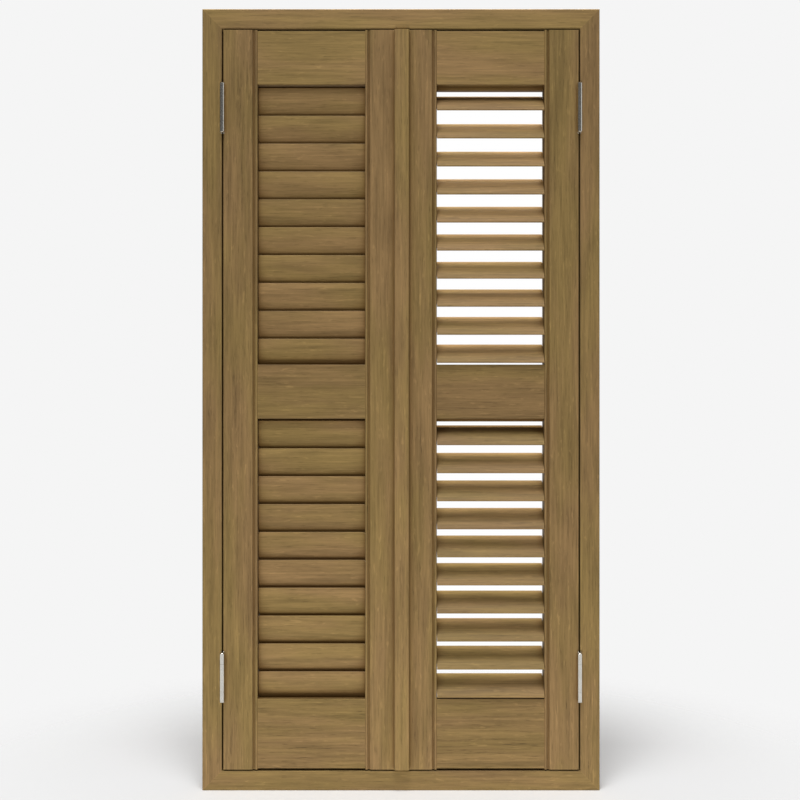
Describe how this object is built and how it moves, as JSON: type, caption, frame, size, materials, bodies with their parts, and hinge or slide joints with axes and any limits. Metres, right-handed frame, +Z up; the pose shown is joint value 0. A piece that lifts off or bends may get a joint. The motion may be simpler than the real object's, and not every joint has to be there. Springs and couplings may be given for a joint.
{
  "type": "louvred shutters",
  "caption": "Pair of wooden louvred shutters hung in a mitred frame, with tilting slats, a cover strip over the meeting stiles and butt hinges.",
  "frame": {"origin": "centre of the sill's underside, midway through the frame's depth", "axes": "+Z up along the frame's height, +X to the right seen from the front, front towards -Y"},
  "size_m": [0.712, 0.062, 1.4],
  "materials": {
    "oak_frame": "satin varnish",
    "oak_leaf": "satin varnish",
    "oak_slats": "satin varnish",
    "oak_strip": "satin varnish",
    "hinge_metal": "satin nickel",
    "tilt_nylon": "plain moulded"
  },
  "bodies": {
    "frame": {"frame_head": "oak_frame", "frame_sill": "oak_frame", "frame_left_jamb": "oak_frame", "frame_right_jamb": "oak_frame", "hinge_frame_halves": "hinge_metal"},
    "left_leaf": {"left_hanging_stile": "oak_leaf", "left_meeting_stile": "oak_leaf", "left_top_rail": "oak_leaf", "left_middle_rail": "oak_leaf", "left_bottom_rail": "oak_leaf", "left_hinge_leaf_halves": "hinge_metal", "cover_strip": "oak_strip"},
    "right_leaf": {"right_hanging_stile": "oak_leaf", "right_meeting_stile": "oak_leaf", "right_top_rail": "oak_leaf", "right_middle_rail": "oak_leaf", "right_bottom_rail": "oak_leaf", "right_hinge_leaf_halves": "hinge_metal"},
    "left_bar": {"left_tilt_bar": "tilt_nylon"},
    "left_slat_01": {"left_slat_01": "oak_slats"},
    "left_slat_02": {"left_slat_02": "oak_slats"},
    "left_slat_03": {"left_slat_03": "oak_slats"},
    "left_slat_04": {"left_slat_04": "oak_slats"},
    "left_slat_05": {"left_slat_05": "oak_slats"},
    "left_slat_06": {"left_slat_06": "oak_slats"},
    "left_slat_07": {"left_slat_07": "oak_slats"},
    "left_slat_08": {"left_slat_08": "oak_slats"},
    "left_slat_09": {"left_slat_09": "oak_slats"},
    "left_slat_10": {"left_slat_10": "oak_slats"},
    "left_slat_11": {"left_slat_11": "oak_slats"},
    "left_slat_12": {"left_slat_12": "oak_slats"},
    "left_slat_13": {"left_slat_13": "oak_slats"},
    "left_slat_14": {"left_slat_14": "oak_slats"},
    "left_slat_15": {"left_slat_15": "oak_slats"},
    "left_slat_16": {"left_slat_16": "oak_slats"},
    "left_slat_17": {"left_slat_17": "oak_slats"},
    "left_slat_18": {"left_slat_18": "oak_slats"},
    "left_slat_19": {"left_slat_19": "oak_slats"},
    "left_slat_20": {"left_slat_20": "oak_slats"},
    "right_bar": {"right_tilt_bar": "tilt_nylon"},
    "right_slat_01": {"right_slat_01": "oak_slats"},
    "right_slat_02": {"right_slat_02": "oak_slats"},
    "right_slat_03": {"right_slat_03": "oak_slats"},
    "right_slat_04": {"right_slat_04": "oak_slats"},
    "right_slat_05": {"right_slat_05": "oak_slats"},
    "right_slat_06": {"right_slat_06": "oak_slats"},
    "right_slat_07": {"right_slat_07": "oak_slats"},
    "right_slat_08": {"right_slat_08": "oak_slats"},
    "right_slat_09": {"right_slat_09": "oak_slats"},
    "right_slat_10": {"right_slat_10": "oak_slats"},
    "right_slat_11": {"right_slat_11": "oak_slats"},
    "right_slat_12": {"right_slat_12": "oak_slats"},
    "right_slat_13": {"right_slat_13": "oak_slats"},
    "right_slat_14": {"right_slat_14": "oak_slats"},
    "right_slat_15": {"right_slat_15": "oak_slats"},
    "right_slat_16": {"right_slat_16": "oak_slats"},
    "right_slat_17": {"right_slat_17": "oak_slats"},
    "right_slat_18": {"right_slat_18": "oak_slats"},
    "right_slat_19": {"right_slat_19": "oak_slats"},
    "right_slat_20": {"right_slat_20": "oak_slats"}
  },
  "joints": [
    {"name": "left_leaf_swing", "type": "hinge", "parent": "frame", "child": "left_leaf", "pos_m": [-0.31975, -0.0296, 0.70001], "axis": [0, 0, -1], "range_deg": [0, 170]},
    {"name": "right_leaf_swing", "type": "hinge", "parent": "frame", "child": "right_leaf", "pos_m": [0.31975, -0.0296, 0.70001], "axis": [0, 0, 1], "range_deg": [0, 170]},
    {"name": "left_slat_01_tilt", "type": "hinge", "parent": "left_leaf", "child": "left_slat_01", "pos_m": [-0.16055, -0.007, 1.23501], "axis": [1, 0, 0], "range_deg": [0, 116]},
    {"name": "left_slat_02_tilt", "type": "hinge", "parent": "left_leaf", "child": "left_slat_02", "pos_m": [-0.16055, -0.007, 1.18481], "axis": [1, 0, 0], "range_deg": [0, 116]},
    {"name": "left_slat_03_tilt", "type": "hinge", "parent": "left_leaf", "child": "left_slat_03", "pos_m": [-0.16055, -0.007, 1.13461], "axis": [1, 0, 0], "range_deg": [0, 116]},
    {"name": "left_slat_04_tilt", "type": "hinge", "parent": "left_leaf", "child": "left_slat_04", "pos_m": [-0.16055, -0.007, 1.08441], "axis": [1, 0, 0], "range_deg": [0, 116]},
    {"name": "left_slat_05_tilt", "type": "hinge", "parent": "left_leaf", "child": "left_slat_05", "pos_m": [-0.16055, -0.007, 1.03421], "axis": [1, 0, 0], "range_deg": [0, 116]},
    {"name": "left_slat_06_tilt", "type": "hinge", "parent": "left_leaf", "child": "left_slat_06", "pos_m": [-0.16055, -0.007, 0.98401], "axis": [1, 0, 0], "range_deg": [0, 116]},
    {"name": "left_slat_07_tilt", "type": "hinge", "parent": "left_leaf", "child": "left_slat_07", "pos_m": [-0.16055, -0.007, 0.93381], "axis": [1, 0, 0], "range_deg": [0, 116]},
    {"name": "left_slat_08_tilt", "type": "hinge", "parent": "left_leaf", "child": "left_slat_08", "pos_m": [-0.16055, -0.007, 0.88361], "axis": [1, 0, 0], "range_deg": [0, 116]},
    {"name": "left_slat_09_tilt", "type": "hinge", "parent": "left_leaf", "child": "left_slat_09", "pos_m": [-0.16055, -0.007, 0.83341], "axis": [1, 0, 0], "range_deg": [0, 116]},
    {"name": "left_slat_10_tilt", "type": "hinge", "parent": "left_leaf", "child": "left_slat_10", "pos_m": [-0.16055, -0.007, 0.78321], "axis": [1, 0, 0], "range_deg": [0, 116]},
    {"name": "left_slat_11_tilt", "type": "hinge", "parent": "left_leaf", "child": "left_slat_11", "pos_m": [-0.16055, -0.007, 0.63601], "axis": [1, 0, 0], "range_deg": [0, 116]},
    {"name": "left_slat_12_tilt", "type": "hinge", "parent": "left_leaf", "child": "left_slat_12", "pos_m": [-0.16055, -0.007, 0.58581], "axis": [1, 0, 0], "range_deg": [0, 116]},
    {"name": "left_slat_13_tilt", "type": "hinge", "parent": "left_leaf", "child": "left_slat_13", "pos_m": [-0.16055, -0.007, 0.53561], "axis": [1, 0, 0], "range_deg": [0, 116]},
    {"name": "left_slat_14_tilt", "type": "hinge", "parent": "left_leaf", "child": "left_slat_14", "pos_m": [-0.16055, -0.007, 0.48541], "axis": [1, 0, 0], "range_deg": [0, 116]},
    {"name": "left_slat_15_tilt", "type": "hinge", "parent": "left_leaf", "child": "left_slat_15", "pos_m": [-0.16055, -0.007, 0.43521], "axis": [1, 0, 0], "range_deg": [0, 116]},
    {"name": "left_slat_16_tilt", "type": "hinge", "parent": "left_leaf", "child": "left_slat_16", "pos_m": [-0.16055, -0.007, 0.38501], "axis": [1, 0, 0], "range_deg": [0, 116]},
    {"name": "left_slat_17_tilt", "type": "hinge", "parent": "left_leaf", "child": "left_slat_17", "pos_m": [-0.16055, -0.007, 0.33481], "axis": [1, 0, 0], "range_deg": [0, 116]},
    {"name": "left_slat_18_tilt", "type": "hinge", "parent": "left_leaf", "child": "left_slat_18", "pos_m": [-0.16055, -0.007, 0.28461], "axis": [1, 0, 0], "range_deg": [0, 116]},
    {"name": "left_slat_19_tilt", "type": "hinge", "parent": "left_leaf", "child": "left_slat_19", "pos_m": [-0.16055, -0.007, 0.23441], "axis": [1, 0, 0], "range_deg": [0, 116]},
    {"name": "left_slat_20_tilt", "type": "hinge", "parent": "left_leaf", "child": "left_slat_20", "pos_m": [-0.16055, -0.007, 0.18421], "axis": [1, 0, 0], "range_deg": [0, 116]},
    {"name": "left_bar_slide", "type": "slide", "parent": "left_leaf", "child": "left_bar", "axis": [0, 0, 1], "range_m": [0, 0.01012]},
    {"name": "right_slat_01_tilt", "type": "hinge", "parent": "right_leaf", "child": "right_slat_01", "pos_m": [0.16055, -0.007, 1.23501], "axis": [1, 0, 0], "range_deg": [-116, 0]},
    {"name": "right_slat_02_tilt", "type": "hinge", "parent": "right_leaf", "child": "right_slat_02", "pos_m": [0.16055, -0.007, 1.18481], "axis": [1, 0, 0], "range_deg": [-116, 0]},
    {"name": "right_slat_03_tilt", "type": "hinge", "parent": "right_leaf", "child": "right_slat_03", "pos_m": [0.16055, -0.007, 1.13461], "axis": [1, 0, 0], "range_deg": [-116, 0]},
    {"name": "right_slat_04_tilt", "type": "hinge", "parent": "right_leaf", "child": "right_slat_04", "pos_m": [0.16055, -0.007, 1.08441], "axis": [1, 0, 0], "range_deg": [-116, 0]},
    {"name": "right_slat_05_tilt", "type": "hinge", "parent": "right_leaf", "child": "right_slat_05", "pos_m": [0.16055, -0.007, 1.03421], "axis": [1, 0, 0], "range_deg": [-116, 0]},
    {"name": "right_slat_06_tilt", "type": "hinge", "parent": "right_leaf", "child": "right_slat_06", "pos_m": [0.16055, -0.007, 0.98401], "axis": [1, 0, 0], "range_deg": [-116, 0]},
    {"name": "right_slat_07_tilt", "type": "hinge", "parent": "right_leaf", "child": "right_slat_07", "pos_m": [0.16055, -0.007, 0.93381], "axis": [1, 0, 0], "range_deg": [-116, 0]},
    {"name": "right_slat_08_tilt", "type": "hinge", "parent": "right_leaf", "child": "right_slat_08", "pos_m": [0.16055, -0.007, 0.88361], "axis": [1, 0, 0], "range_deg": [-116, 0]},
    {"name": "right_slat_09_tilt", "type": "hinge", "parent": "right_leaf", "child": "right_slat_09", "pos_m": [0.16055, -0.007, 0.83341], "axis": [1, 0, 0], "range_deg": [-116, 0]},
    {"name": "right_slat_10_tilt", "type": "hinge", "parent": "right_leaf", "child": "right_slat_10", "pos_m": [0.16055, -0.007, 0.78321], "axis": [1, 0, 0], "range_deg": [-116, 0]},
    {"name": "right_slat_11_tilt", "type": "hinge", "parent": "right_leaf", "child": "right_slat_11", "pos_m": [0.16055, -0.007, 0.63601], "axis": [1, 0, 0], "range_deg": [-116, 0]},
    {"name": "right_slat_12_tilt", "type": "hinge", "parent": "right_leaf", "child": "right_slat_12", "pos_m": [0.16055, -0.007, 0.58581], "axis": [1, 0, 0], "range_deg": [-116, 0]},
    {"name": "right_slat_13_tilt", "type": "hinge", "parent": "right_leaf", "child": "right_slat_13", "pos_m": [0.16055, -0.007, 0.53561], "axis": [1, 0, 0], "range_deg": [-116, 0]},
    {"name": "right_slat_14_tilt", "type": "hinge", "parent": "right_leaf", "child": "right_slat_14", "pos_m": [0.16055, -0.007, 0.48541], "axis": [1, 0, 0], "range_deg": [-116, 0]},
    {"name": "right_slat_15_tilt", "type": "hinge", "parent": "right_leaf", "child": "right_slat_15", "pos_m": [0.16055, -0.007, 0.43521], "axis": [1, 0, 0], "range_deg": [-116, 0]},
    {"name": "right_slat_16_tilt", "type": "hinge", "parent": "right_leaf", "child": "right_slat_16", "pos_m": [0.16055, -0.007, 0.38501], "axis": [1, 0, 0], "range_deg": [-116, 0]},
    {"name": "right_slat_17_tilt", "type": "hinge", "parent": "right_leaf", "child": "right_slat_17", "pos_m": [0.16055, -0.007, 0.33481], "axis": [1, 0, 0], "range_deg": [-116, 0]},
    {"name": "right_slat_18_tilt", "type": "hinge", "parent": "right_leaf", "child": "right_slat_18", "pos_m": [0.16055, -0.007, 0.28461], "axis": [1, 0, 0], "range_deg": [-116, 0]},
    {"name": "right_slat_19_tilt", "type": "hinge", "parent": "right_leaf", "child": "right_slat_19", "pos_m": [0.16055, -0.007, 0.23441], "axis": [1, 0, 0], "range_deg": [-116, 0]},
    {"name": "right_slat_20_tilt", "type": "hinge", "parent": "right_leaf", "child": "right_slat_20", "pos_m": [0.16055, -0.007, 0.18421], "axis": [1, 0, 0], "range_deg": [-116, 0]},
    {"name": "right_bar_slide", "type": "slide", "parent": "right_leaf", "child": "right_bar", "axis": [0, 0, 1], "range_m": [-0.01012, 0]}
  ],
  "couplings": [
    {"joint": "right_leaf_swing", "follows": "left_leaf_swing", "ratio": 1},
    {"joint": "left_slat_02_tilt", "follows": "left_slat_01_tilt", "ratio": 1},
    {"joint": "left_slat_03_tilt", "follows": "left_slat_01_tilt", "ratio": 1},
    {"joint": "left_slat_04_tilt", "follows": "left_slat_01_tilt", "ratio": 1},
    {"joint": "left_slat_05_tilt", "follows": "left_slat_01_tilt", "ratio": 1},
    {"joint": "left_slat_06_tilt", "follows": "left_slat_01_tilt", "ratio": 1},
    {"joint": "left_slat_07_tilt", "follows": "left_slat_01_tilt", "ratio": 1},
    {"joint": "left_slat_08_tilt", "follows": "left_slat_01_tilt", "ratio": 1},
    {"joint": "left_slat_09_tilt", "follows": "left_slat_01_tilt", "ratio": 1},
    {"joint": "left_slat_10_tilt", "follows": "left_slat_01_tilt", "ratio": 1},
    {"joint": "left_slat_11_tilt", "follows": "left_slat_01_tilt", "ratio": 1},
    {"joint": "left_slat_12_tilt", "follows": "left_slat_01_tilt", "ratio": 1},
    {"joint": "left_slat_13_tilt", "follows": "left_slat_01_tilt", "ratio": 1},
    {"joint": "left_slat_14_tilt", "follows": "left_slat_01_tilt", "ratio": 1},
    {"joint": "left_slat_15_tilt", "follows": "left_slat_01_tilt", "ratio": 1},
    {"joint": "left_slat_16_tilt", "follows": "left_slat_01_tilt", "ratio": 1},
    {"joint": "left_slat_17_tilt", "follows": "left_slat_01_tilt", "ratio": 1},
    {"joint": "left_slat_18_tilt", "follows": "left_slat_01_tilt", "ratio": 1},
    {"joint": "left_slat_19_tilt", "follows": "left_slat_01_tilt", "ratio": 1},
    {"joint": "left_slat_20_tilt", "follows": "left_slat_01_tilt", "ratio": 1},
    {"joint": "left_bar_slide", "follows": "left_slat_01_tilt", "m_per_rad": 0.005},
    {"joint": "right_slat_02_tilt", "follows": "right_slat_01_tilt", "ratio": 1},
    {"joint": "right_slat_03_tilt", "follows": "right_slat_01_tilt", "ratio": 1},
    {"joint": "right_slat_04_tilt", "follows": "right_slat_01_tilt", "ratio": 1},
    {"joint": "right_slat_05_tilt", "follows": "right_slat_01_tilt", "ratio": 1},
    {"joint": "right_slat_06_tilt", "follows": "right_slat_01_tilt", "ratio": 1},
    {"joint": "right_slat_07_tilt", "follows": "right_slat_01_tilt", "ratio": 1},
    {"joint": "right_slat_08_tilt", "follows": "right_slat_01_tilt", "ratio": 1},
    {"joint": "right_slat_09_tilt", "follows": "right_slat_01_tilt", "ratio": 1},
    {"joint": "right_slat_10_tilt", "follows": "right_slat_01_tilt", "ratio": 1},
    {"joint": "right_slat_11_tilt", "follows": "right_slat_01_tilt", "ratio": 1},
    {"joint": "right_slat_12_tilt", "follows": "right_slat_01_tilt", "ratio": 1},
    {"joint": "right_slat_13_tilt", "follows": "right_slat_01_tilt", "ratio": 1},
    {"joint": "right_slat_14_tilt", "follows": "right_slat_01_tilt", "ratio": 1},
    {"joint": "right_slat_15_tilt", "follows": "right_slat_01_tilt", "ratio": 1},
    {"joint": "right_slat_16_tilt", "follows": "right_slat_01_tilt", "ratio": 1},
    {"joint": "right_slat_17_tilt", "follows": "right_slat_01_tilt", "ratio": 1},
    {"joint": "right_slat_18_tilt", "follows": "right_slat_01_tilt", "ratio": 1},
    {"joint": "right_slat_19_tilt", "follows": "right_slat_01_tilt", "ratio": 1},
    {"joint": "right_slat_20_tilt", "follows": "right_slat_01_tilt", "ratio": 1},
    {"joint": "right_bar_slide", "follows": "right_slat_01_tilt", "m_per_rad": 0.005}
  ]
}
